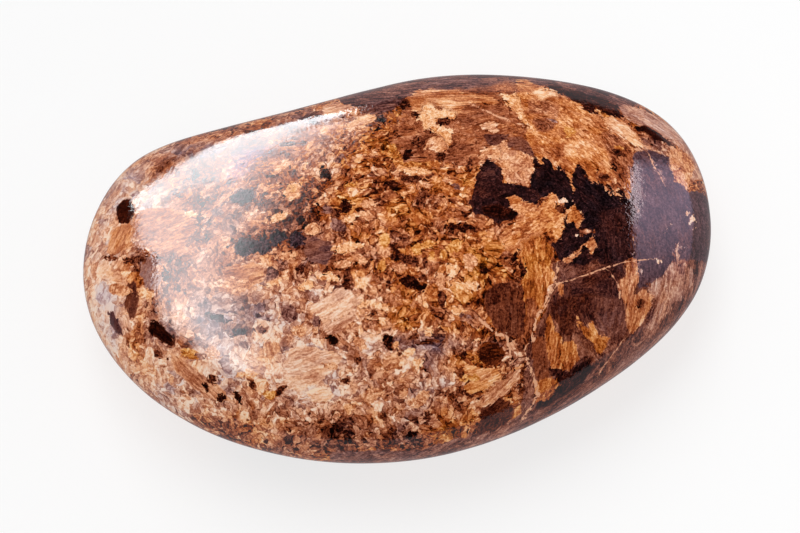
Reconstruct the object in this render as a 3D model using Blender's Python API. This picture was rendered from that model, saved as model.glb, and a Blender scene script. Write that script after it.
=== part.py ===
"""A tumbled and polished pebble of bronzite, a bronze-brown pyroxene rock, lying on its belly.

Tumbling grinds a broken lump of rock down on many sides. Each side wears nearly flat, and every
edge between two sides wears round. The pebble is built in the same way. Its flanks are worn into
two bevels each, one above and one below the widest line of the stone, and a few more sides close
the crown and the belly. One rounding length melts all these planes into a single smooth skin.
One long flank is worn a little hollow, which gives the stone its waist.

It is one natural piece, so it is one solid. Metres, +Z up. The origin is under the middle of the
stone's box, on the surface that the stone lies on. +X runs along the stone and +Y to its back.
"""

import bpy
import numpy as np

MM = 0.001

# How far an edge between two worn sides is rounded, in mm.
EDGE_ROUNDING = 1.5

# Each flank: the way it faces (degrees from +X towards +Y), how far its two bevels would reach
# from the middle of the stone before they are rounded (mm), and how steeply the upper bevel
# faces up and the lower one faces down (degrees from level).
FLANKS = {
    "right_end": (356, 18.9, 42, 34),
    "right_back": (19, 20.5, 45, 32),
    "right_back_shoulder": (46, 21.2, 52, 28),
    "back_right": (70, 17.3, 58, 28),
    "back": (86, 14.3, 60, 28),
    "back_left": (106, 13.8, 60, 28),
    "left_back": (130, 18.1, 56, 28),
    "left_back_end": (150, 20.3, 50, 30),
    "left_end_back": (170, 19.3, 46, 34),
    "left_end": (190, 22.0, 44, 36),
    "left_front": (208, 18.8, 42, 38),
    "left_front_long": (227, 16.7, 40, 38),
    "front_left": (252, 14.1, 40, 40),
    "front": (273, 13.2, 40, 40),
    "front_right": (296, 13.6, 40, 40),
    "right_front": (311, 13.9, 42, 38),
    "right_front_end": (336, 23.9, 42, 36),
}
# The height at which the two bevels of every flank meet, in mm from the middle.
WIDEST_LINE = -0.6

# The other worn sides: the way they face (degrees from +X towards +Y, degrees above level) and
# their distance in mm from the middle of the stone.
CROWN = {
    "top": (0, 88, 6.0),
    "top_left": (165, 66, 8.4),
    "top_right": (8, 58, 9.8),
    "top_front": (270, 64, 7.6),
    "top_back": (90, 74, 7.0),
}
BELLY = {
    "underside": (0, -90, 5.6),
}

# The waist, in mm: a very large ball lies against the back left flank at this point, and the
# flank is worn to fit it.
WAIST_POINT = (-6.2, 8.65, 0.0)
WAIST_FACES = (106, 14)
WAIST_RADIUS = 60.0
WAIST_ROUNDING = 0.5

# The worn patch that the stone lies on: how much of the belly is ground off flat, in mm.
REST_GROUND_OFF = 0.12

# The mesh starts as a cube whose faces are cut into this many squares along each side, and is
# stretched to these half sizes in mm, so that its squares are even over the long shape.
SQUARES = 24
HALF_SIZES = (15.8, 10.5, 5.0)

# Rays from the middle of the stone look this far for its skin, in mm, in this many halvings.
LONGEST_REACH = 25.0
HALVINGS = 40


def unit_vector(azimuth, elevation):
    """The direction that a worn side faces."""
    a, e = np.radians(azimuth), np.radians(elevation)
    return np.array([np.cos(a) * np.cos(e), np.sin(a) * np.cos(e), np.sin(e)])


def worn_sides():
    """The facing and the distance from the middle of every worn side, in mm."""
    facings, distances = [], []
    for azimuth, reach, rise, fall in FLANKS.values():
        for tilt in (rise, -fall):
            facing = unit_vector(azimuth, tilt)
            edge_point = reach * unit_vector(azimuth, 0) + (0, 0, WIDEST_LINE)
            facings.append(facing)
            distances.append(edge_point @ facing)
    for azimuth, elevation, distance in [*CROWN.values(), *BELLY.values()]:
        facings.append(unit_vector(azimuth, elevation))
        distances.append(distance)
    return np.array(facings), np.array(distances)


def smooth_greatest(values, rounding):
    """The greatest of the values along the last axis, with the corners between them rounded."""
    scaled = values / rounding
    highest = scaled.max(axis=-1, keepdims=True)
    return rounding * (highest[..., 0] + np.log(np.exp(scaled - highest).sum(axis=-1)))


def height_over_skin(points, facings, distances):
    """How far each point lies outside the pebble's skin, in mm; it is negative inside."""
    over_sides = smooth_greatest(points @ facings.T - distances, EDGE_ROUNDING)
    ball_centre = np.array(WAIST_POINT) + WAIST_RADIUS * unit_vector(*WAIST_FACES)
    in_waist = WAIST_RADIUS - np.linalg.norm(points - ball_centre, axis=-1)
    return smooth_greatest(np.stack([over_sides, in_waist], axis=-1), WAIST_ROUNDING)


def skin_points(directions):
    """The points where rays from the middle of the stone leave it, found by halving the reach."""
    facings, distances = worn_sides()
    near = np.zeros(len(directions))
    far = np.full(len(directions), LONGEST_REACH)
    for _ in range(HALVINGS):
        middle = (near + far) / 2
        inside = height_over_skin(directions * middle[:, None], facings, distances) < 0
        near = np.where(inside, middle, near)
        far = np.where(inside, far, middle)
    return directions * far[:, None]


def remove_startup_objects():
    for obj in list(bpy.data.objects):
        bpy.data.objects.remove(obj)


def cut_cube():
    """A cube of side 2 with every face cut into squares."""
    bpy.ops.mesh.primitive_cube_add(size=2)
    cube = bpy.context.object
    bpy.ops.object.mode_set(mode="EDIT")
    bpy.ops.mesh.select_all(action="SELECT")
    bpy.ops.mesh.subdivide(number_cuts=SQUARES - 1)
    bpy.ops.object.mode_set(mode="OBJECT")
    return cube


def wear_round(stone):
    """Moves every point of the cut cube on to the pebble's skin."""
    corners = np.array([vertex.co for vertex in stone.data.vertices])
    # The tangent keeps the squares the same size from the middle of a face to its corners.
    rays = np.tan(corners * np.pi / 4) * HALF_SIZES
    rays /= np.linalg.norm(rays, axis=1, keepdims=True)
    stone.data.vertices.foreach_set("co", (skin_points(rays) * MM).astype(np.float32).ravel())


def grind_rest_patch(stone):
    """Grinds the belly flat where the stone lies, and sets the stone down over the origin."""
    points = np.array([vertex.co for vertex in stone.data.vertices])
    ground = points[:, 2].min() + REST_GROUND_OFF * MM
    points[:, 2] = np.maximum(points[:, 2], ground)
    low, high = points.min(axis=0), points.max(axis=0)
    middle = (low + high) / 2
    points -= (middle[0], middle[1], ground)
    stone.data.vertices.foreach_set("co", points.astype(np.float32).ravel())
    stone.data.update()


def polished_bronzite():
    """Bronze-brown stone under a wet-looking polish."""
    material = bpy.data.materials.new("polished_bronzite")
    material.use_nodes = True
    shader = material.node_tree.nodes["Principled BSDF"]
    shader.inputs["Base Color"].default_value = (0.27, 0.11, 0.05, 1)
    shader.inputs["Roughness"].default_value = 0.12
    shader.inputs["Metallic"].default_value = 0.0
    return material


def build_stone():
    """The pebble, in a collection of its own."""
    stone = cut_cube()
    stone.name = "stone"
    stone.data.name = "stone"
    wear_round(stone)
    grind_rest_patch(stone)
    stone.data.shade_smooth()
    stone.data.materials.append(polished_bronzite())
    collection = bpy.data.collections.new("polished_bronzite_stone")
    bpy.context.scene.collection.children.link(collection)
    for current in list(stone.users_collection):
        current.objects.unlink(stone)
    collection.objects.link(stone)
    return stone


remove_startup_objects()
built = build_stone()
bpy.context.view_layer.update()
print("stone, mm:", [round(size / MM, 2) for size in built.dimensions])
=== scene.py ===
# %% [markdown]
# # A polished bronzite pebble
#
# Bronzite is a bronze-brown pyroxene rock. Its crystals hold countless thin plates that throw light
# back like old copper, and between them lie near-black grains and pale threads of younger mineral.
# A tumbling drum has worn this lump round and polished it until it looks wet.
#
# The lesson goes as the stone was made: first its shape, then the rock it is cut from, then the
# polish, and last the studio that it lies in. Sizes are in millimetres and are turned to metres
# where Blender takes them.

import bmesh
import bpy
import numpy as np
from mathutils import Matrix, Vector, kdtree, noise
from mathutils.bvhtree import BVHTree


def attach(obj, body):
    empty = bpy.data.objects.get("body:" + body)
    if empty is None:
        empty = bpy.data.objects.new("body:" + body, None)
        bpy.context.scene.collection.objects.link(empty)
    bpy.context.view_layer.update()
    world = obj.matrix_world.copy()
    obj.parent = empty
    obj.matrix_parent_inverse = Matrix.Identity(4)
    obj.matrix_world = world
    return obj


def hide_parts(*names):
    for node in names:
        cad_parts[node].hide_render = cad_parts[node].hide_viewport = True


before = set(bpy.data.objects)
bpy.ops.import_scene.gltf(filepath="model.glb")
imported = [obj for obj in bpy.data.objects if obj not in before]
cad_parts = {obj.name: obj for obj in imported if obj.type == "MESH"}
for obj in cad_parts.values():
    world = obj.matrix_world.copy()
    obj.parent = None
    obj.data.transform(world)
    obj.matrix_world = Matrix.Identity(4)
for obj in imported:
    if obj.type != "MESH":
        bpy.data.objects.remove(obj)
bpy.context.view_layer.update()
MM = 0.001

# %% [markdown]
# ## Colours
#
# Colours are written as the hex numbers that a paint program shows. Blender works with light, so
# one function turns each of them to linear values.

# %% Colours as light


def light_of(hex_colour):
    """The linear red, green, blue and alpha of an sRGB hex colour such as "#a65e38"."""
    levels = [int(hex_colour[i:i + 2], 16) / 255 for i in (1, 3, 5)]
    return [c / 12.92 if c <= 0.04045 else ((c + 0.055) / 1.055) ** 2.4 for c in levels] + [1.0]


print("bronze as light:", [round(c, 3) for c in light_of("#a65e38")])

# %% [markdown]
# ## The camera
#
# The stone is looked down on at a steep angle, as someone would look at it on a table. A long lens
# from a hand's breadth away keeps its outline true. The camera looks at the middle of the stone,
# and the plane square to its view through that middle is the drawing plane: the marks of the rock
# are drawn there later, in millimetres, right and up.

# %% Camera and drawing plane
VIEW_RISE = np.radians(68)
VIEW_DISTANCE = 222.2
# The length of the lens and the width of the film behind it, in mm.
LENS_LENGTH = 200
FILM_WIDTH = 36
# The camera sees nothing nearer than this, in mm.
NEAREST_SEEN = 10
STONE_MIDDLE = np.array([0.05, -0.56, 5.44])
LOOKED_AT = STONE_MIDDLE + (0.06, -0.06, -0.02)
DRAWN_RIGHT = np.array([1.0, 0.0, 0.0])
DRAWN_UP = np.array([0.0, np.sin(VIEW_RISE), np.cos(VIEW_RISE)])
TO_CAMERA = np.array([0.0, -np.cos(VIEW_RISE), np.sin(VIEW_RISE)])

camera = bpy.data.objects.new("camera", bpy.data.cameras.new("camera"))
camera.data.lens = LENS_LENGTH
camera.data.sensor_width = FILM_WIDTH
camera.data.clip_start = NEAREST_SEEN * MM
camera.location = (LOOKED_AT + VIEW_DISTANCE * TO_CAMERA) * MM
camera.rotation_euler = (np.pi / 2 - VIEW_RISE, 0, 0)
bpy.context.scene.collection.objects.link(camera)
bpy.context.scene.camera = camera
print("camera, mm:", [round(c / MM, 1) for c in camera.location])

# %% [markdown]
# ## The skin
#
# The solid has the right shape, but it is made of flat triangles over a millimetre wide, and a
# polished stone shows every one of them in its reflections. A cage of the same squares is laid on
# the solid's corners, and Subdivision Surface rounds it. Rounding pulls a surface inwards, so the
# cage is first pushed out by as much as it would lose.

# %% Cut boxes
SOLID_HALF_SIZES = np.array([15.8, 10.5, 5.0])
SOLID_SQUARES = (24, 24, 24)
# An edge of a cube of side 2 runs along an axis if its ends are further apart than this on it.
SAME_PLACE = 1e-6


def cut_box(name, squares):
    """A cube of side 2 whose faces are cut into so many squares along x, y and z."""
    mesh = bmesh.new()
    bmesh.ops.create_cube(mesh, size=2)
    for axis, count in enumerate(squares):
        along = [e for e in mesh.edges if abs(e.verts[0].co[axis] - e.verts[1].co[axis]) > SAME_PLACE]
        bmesh.ops.subdivide_edges(mesh, edges=along, cuts=count - 1, use_grid_fill=True)
    data = bpy.data.meshes.new(name)
    mesh.to_mesh(data)
    mesh.free()
    return data


def corners_of(mesh):
    """A mesh's corners as rows of x, y and z."""
    flat = np.empty(len(mesh.vertices) * 3, np.float32)
    mesh.vertices.foreach_get("co", flat)
    return flat.reshape(-1, 3).astype(float)


def set_corners(mesh, points):
    """Moves a mesh's corners to these rows of x, y and z."""
    mesh.vertices.foreach_set("co", points.astype(np.float32).ravel())
    mesh.update()


def cast_on(mesh, target):
    """Where rays from the stone's middle, spread evenly over a cut box, meet a target tree, in mm."""
    rays = np.tan(corners_of(mesh) * np.pi / 4) * SOLID_HALF_SIZES
    middle = Vector(STONE_MIDDLE)
    return np.array([target.ray_cast(middle, Vector(ray).normalized())[0] for ray in rays])


cage = cut_box("cage", SOLID_SQUARES)
print("cage corners:", len(cage.vertices))

# %% Lay the cage on the solid
SNAP_WITHIN = 0.1

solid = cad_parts["stone"].data
solid_corners = corners_of(solid) / MM
solid_triangles = [tuple(polygon.vertices) for polygon in solid.polygons]
solid_tree = BVHTree.FromPolygons([Vector(p) for p in solid_corners], solid_triangles)
corner_tree = kdtree.KDTree(len(solid_corners))
for index, corner in enumerate(solid_corners):
    corner_tree.insert(corner, index)
corner_tree.balance()

on_solid = cast_on(cage, solid_tree)
snapped = 0
for index, point in enumerate(on_solid):
    corner, _, distance = corner_tree.find(point)
    if distance < SNAP_WITHIN:
        on_solid[index] = corner
        snapped += 1
print("cage corners on a corner of the solid:", snapped, "of", len(on_solid))

# %% Round the cage
PUSHES = 4
# How many times each square is split, while the cage is pushed and for the round skin.
CAGE_LEVELS = 1
ROUND_LEVELS = 3
# How exactly the corners are placed, from 1 to 10.
ROUND_QUALITY = 4


def rounded(mesh, levels):
    """The mesh after Subdivision Surface, as a new mesh."""
    carrier = bpy.data.objects.new("carrier", mesh)
    bpy.context.scene.collection.objects.link(carrier)
    smooth = carrier.modifiers.new("round", "SUBSURF")
    smooth.levels = smooth.render_levels = levels
    smooth.quality = ROUND_QUALITY
    bpy.context.view_layer.update()
    result = bpy.data.meshes.new_from_object(carrier.evaluated_get(bpy.context.evaluated_depsgraph_get()))
    bpy.data.objects.remove(carrier)
    return result


pushed = on_solid.copy()
for _ in range(PUSHES):
    set_corners(cage, pushed)
    lost = on_solid - corners_of(rounded(cage, CAGE_LEVELS))[:len(on_solid)]
    pushed += lost
    print("furthest corner from the solid, mm:", round(float(np.linalg.norm(lost, axis=1).max()), 4))
set_corners(cage, pushed)
round_skin = rounded(cage, ROUND_LEVELS)
print("round skin corners:", len(round_skin.vertices))

# %% [markdown]
# The rounded cage has long thin squares on the crown and small ones on the flanks. The finished
# skin is a second cut box with squares of about 0.15 mm all over, cast on to the rounded cage.

# %% Cast the finished skin
SKIN_SQUARES = (196, 132, 54)
# The tumbler leaves the skin very slightly uneven: how high its waves are and how far apart, in mm.
WAVE_HEIGHT = 0.012
WAVE_LENGTH = 1.6

round_tree = BVHTree.FromPolygons(
    [Vector(p) for p in corners_of(round_skin)], [tuple(p.vertices) for p in round_skin.polygons])
skin = cut_box("bronzite_stone", SKIN_SQUARES)
skin_points = cast_on(skin, round_tree)
rays_out = skin_points - STONE_MIDDLE
rays_out /= np.linalg.norm(rays_out, axis=1, keepdims=True)
waves = np.array([noise.noise(Vector(point) / WAVE_LENGTH) for point in skin_points])
skin_points += WAVE_HEIGHT * waves[:, None] * rays_out
skin_points[:, 2] = np.maximum(skin_points[:, 2], 0.0)
set_corners(skin, skin_points * MM)
skin.shade_smooth()
stone = bpy.data.objects.new("bronzite_stone", skin)
bpy.context.scene.collection.objects.link(stone)
print("skin triangles:", 2 * len(skin.polygons))
print("skin, mm:", (skin_points.max(axis=0) - skin_points.min(axis=0)).round(2))

# %% [markdown]
# ## The marks of this stone
#
# The rock is a crowd of crystals, and no two stones have the same. The large ones of this stone are
# drawn one by one as outlines on the drawing plane, right and up from its middle in mm. Everything
# between them is left to patterns.

# %% Drawn marks
# The ground: tone, hue and the way its fibres run (degrees), then the outline.
GROUND_MARKS = {
    "back_brown": (0.36, 0.5, 20, [
        (0.2, 8.53), (1.5, 9.03), (3.5, 9.22), (6, 9.32), (6.5, 8.72), (6, 7.83), (6.4, 6.83),
        (6.5, 5.83), (5.6, 5.72), (3.5, 5.03), (2, 5.33), (0.2, 5.12), (-0.1, 6.33), (0, 7.83)]),
    "right_brown": (0.29, 1.2, 82, [
        (7.6, 0.23), (10, 0.57), (12, 0.23), (15.3, 0.82), (15.6, -0.93), (14.6, -2.77), (12.4, -4.47),
        (10, -6.08), (8, -6.88), (6.8, -7.28), (6, -7.67), (6.2, -5.67), (6.4, -3.67), (7.25, -2.27)]),
    "top_rim": (0.32, 1.6, 5, [
        (-3.5, 8.72), (0, 9.82), (4, 10.03), (8, 9.62), (11, 8.82), (12, 8.12), (11.1, 7.92), (10, 8.32),
        (8.75, 8.62), (7.25, 9.03), (5.5, 9.22), (4, 8.93), (2, 8.82), (0.8, 8.62), (0.2, 8.32),
        (-0.4, 7.83), (-1.4, 7.53), (-2.75, 7.92)]),
    "tan_right": (0.57, 1.2, -40, [
        (10.9, 8.03), (12, 7.92), (13, 7.42), (13.9, 6.78), (14.5, 6.03), (15, 5.22), (15.1, 4.42),
        (14.6, 4.22), (14.2, 5.03), (13.9, 5.92), (13.6, 6.28), (12.8, 6.72), (12, 7.03), (11.2, 7.53)]),
    # The low rim is a mauve-brown band along the lower outline: partly the rock's own colour, partly painted
    # shade of the front flank, which faces away from the sun.
    "low_rim_with_painted_shade": (0.35, 1.4, 38, [
        (15, 0.23), (15.8, 0.23), (15.8, -1.68), (14.5, -3.48), (12.5, -4.88), (10, -6.47), (8, -7.47),
        (5, -8.78), (1.5, -9.78), (-3.5, -9.97), (-3.5, -9.28), (1, -9.18), (3.5, -8.47), (6, -7.47),
        (7.8, -6.88), (9.8, -5.88), (11.1, -4.78), (12.5, -3.67), (13.6, -2.77), (14.5, -1.48)]),
}
# Dark grains on it, in the same way.
DARK_MARKS = {
    "purple_end": (0.31, 2.0, 85, [
        (11.5, 5.43), (11.8, 5.72), (12.4, 5.83), (13.1, 5.72), (13.5, 5.43), (13.8, 4.33), (14.4, 3.83),
        (15.1, 3.83), (15.6, 2.83), (15.6, 0.23), (14.8, 0.23), (14.2, 0.42), (13.8, 0.23),
        (13.2, -0.47), (12.5, -0.88), (12, -1.07), (11.75, -0.68), (11.7, 0.82), (11.6, 2.58),
        (11.5, 4.33)]),
    "black_shoulder": (0.06, 1.0, -30, [
        (11.8, 6.98), (12.25, 7.03), (12.75, 6.78), (13.2, 6.43), (13.85, 6.03), (13.8, 5.88),
        (13.2, 6.13), (12.75, 6.38), (12.25, 6.68), (11.85, 6.78)]),
    "black_under_comb": (0.05, 1.8, -60, [
        (6.5, 5.42), (7.25, 5.58), (8, 5.17), (8.9, 5.33), (10, 4.42), (11.6, 3.83), (11.75, 2.58),
        (11.25, 2.08), (10.3, 2.23), (9.6, 1.93), (8.6, 1.52), (8.15, 2.02), (8.3, 2.92), (7.8, 3.52),
        (7, 3.48), (6.55, 3.83), (6.4, 4.42)]),
    "black_brown_fibres": (0.13, 1.5, 86, [
        (9.9, 2.62), (10.9, 3.02), (11.6, 3.23), (11.75, 1.82), (11.65, 0.53), (11.1, 0.23),
        (10.1, 0.03), (9.7, 1.12)]),
    "black_hollow": (0.08, 1.7, 80, [
        (8, 1.52), (8.3, 2.02), (9, 2.02), (9.6, 1.73), (10, 1.32), (10.1, 0.42), (9.5, 0.12),
        (8.8, 0.03), (8, 0.33), (7.6, 1.02)]),
    "dark_beside_vein": (0.19, 1.4, 20, [
        (8, -0.78), (9, -0.38), (10.2, 0.03), (11.3, 0.33), (11.3, -0.38), (10.9, -0.88), (11, -1.68),
        (10, -1.48), (9, -1.48), (8.3, -1.48), (8.1, -1.18)]),
    "dark_brown_fan": (0.16, 1.1, 78, [
        (7.6, -1.77), (8.3, -1.48), (9.5, -1.38), (10.2, -1.48), (10, -2.27), (9.7, -2.67), (9.4, -2.98),
        (9, -2.58), (8.6, -3.38), (8.3, -3.48), (7.9, -2.98), (7.6, -2.38)]),
    "brown_fan_edge": (0.31, 1.3, 80, [
        (9.8, -1.48), (11.1, -1.57), (11.4, -2.27), (11.4, -3.17), (10.8, -3.88), (10.3, -3.48),
        (9.9, -2.67)]),
    "dark_core": (0.1, 1.6, 60, [
        (3.4, 3.12), (3.7, 3.83), (3.9, 4.72), (4.3, 5.33), (4.6, 5.47), (4.95, 5.03), (5.2, 4.22),
        (6, 4.12), (6.8, 3.83), (7.1, 3.38), (6.6, 3.08), (5.8, 3.23), (5.4, 3.02), (5.95, 2.73),
        (5.6, 2.38), (5, 2.12), (4.3, 2.48), (3.7, 2.67)]),
    "flat_dark_grain": (0.17, 1.6, 0, [
        (4, 4.72), (4.5, 4.97), (5.05, 4.88), (5.1, 4.12), (4.5, 3.98), (4, 4.12)]),
    "black_wisp": (0.06, 1.0, 0, [
        (4, 3.02), (4.8, 3.12), (5.4, 2.92), (5.9, 2.73), (5.6, 2.42), (5, 2.42), (4.2, 2.62)]),
    "maroon_window": (0.22, 0.8, 88, [
        (4.4, -1.07), (4.9, -0.78), (5.6, -0.82), (6.1, -1.07), (6.35, -1.68), (6.3, -2.58),
        (6.2, -3.27), (5.8, -3.62), (5.2, -3.42), (4.7, -2.98), (4.3, -2.38), (4.2, -1.57)]),
    "red_brown_wedge": (0.3, 0.55, 82, [
        (6.7, -3.77), (7.3, -3.48), (7.5, -4.28), (7.55, -5.17), (7.4, -5.88), (7.2, -6.38),
        (6.9, -5.67), (6.6, -4.78)]),
    "black_diagonal": (0.08, 1.3, 40, [
        (7.4, -5.08), (7.9, -4.97), (8.3, -5.38), (8.8, -4.97), (9.5, -4.58), (9.6, -5.08), (9.2, -5.67),
        (8.6, -6.22), (7.9, -6.62), (7.2, -7.03), (6.7, -7.17), (6.9, -6.78), (7.5, -6.38), (8, -5.97),
        (7.8, -5.58)]),
    "dark_foot": (0.17, 0.9, 60, [
        (4.2, -6.78), (4.8, -6.58), (5.5, -6.78), (5.8, -7.28), (5.4, -7.88), (4.6, -8.28), (3.8, -8.47),
        (3.9, -7.67)]),
    "dark_blob": (0.16, 0.2, 0, [
        (3.9, -4.17), (4.3, -3.77), (4.9, -3.88), (5.3, -4.28), (5.1, -4.78), (4.5, -4.97), (4, -4.67)]),
    "dark_line": (0.28, 1.5, 40, [
        (12.9, -1.57), (13.1, -1.82), (12.75, -2.48), (12.3, -3.08), (11.7, -3.62), (11.55, -3.42),
        (12.1, -2.83), (12.5, -2.23)]),
    "black_back_streak": (0.08, 1.2, -25, [
        (7.4, 9.03), (8.75, 8.78), (10, 8.47), (10.9, 7.97), (11.15, 7.42), (10.6, 7.38), (10.1, 7.72),
        (9.7, 7.92), (10, 7.53), (9.4, 7.62), (9, 8.07), (8.3, 8.43), (7.6, 8.72)]),
    "purple_over_egg": (0.3, 1.2, -50, [
        (5.3, 6.42), (6, 6.53), (6.5, 6.22), (6.8, 5.72), (6.65, 5.38), (6, 5.72), (5.4, 5.88)]),
    "mauve_chip": (0.26, 1.3, 0, [
        (4.2, 6.62), (4.9, 6.67), (5.5, 6.53), (5.3, 6.22), (4.7, 6.03), (4.3, 6.12)]),
    "mauve_plate": (0.33, 1.5, 10, [
        (-4.85, 1.12), (-4.3, 1.43), (-3.4, 1.23), (-3.3, 0.62), (-3.7, 0.12), (-4.4, 0.23),
        (-4.8, 0.62)]),
    "mauve_left": (0.5, 1.6, 80, [
        (-13, 0.23), (-12.5, 0.53), (-12, 0.33), (-11.85, -0.47), (-12.1, -1.18), (-12.7, -1.18),
        (-13.05, -0.47)]),
    "left_dark_a": (0.1, 0.8, 75, [
        (-14.2, 3.02), (-13.8, 3.38), (-13.35, 3.23), (-13.3, 2.62), (-13.6, 2.02), (-14.1, 2.23)]),
    "left_dark_b": (0.06, 0.6, -45, [
        (-12.65, -2.77), (-12.2, -2.67), (-11.8, -3.08), (-11.35, -3.48), (-11.4, -3.98), (-12, -3.77),
        (-12.5, -3.38)]),
    "left_dark_c": (0.3, 1.8, -60, [
        (-14.65, -2.27), (-14.3, -2.27), (-14.05, -2.77), (-13.8, -3.48), (-14.2, -3.38), (-14.5, -2.98)]),
    "left_maroon": (0.24, 1.0, 85, [
        (-13.65, -0.88), (-13.3, -0.68), (-13.1, -1.48), (-13.2, -2.48), (-13.55, -2.67), (-13.7, -1.88)]),
}
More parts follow.
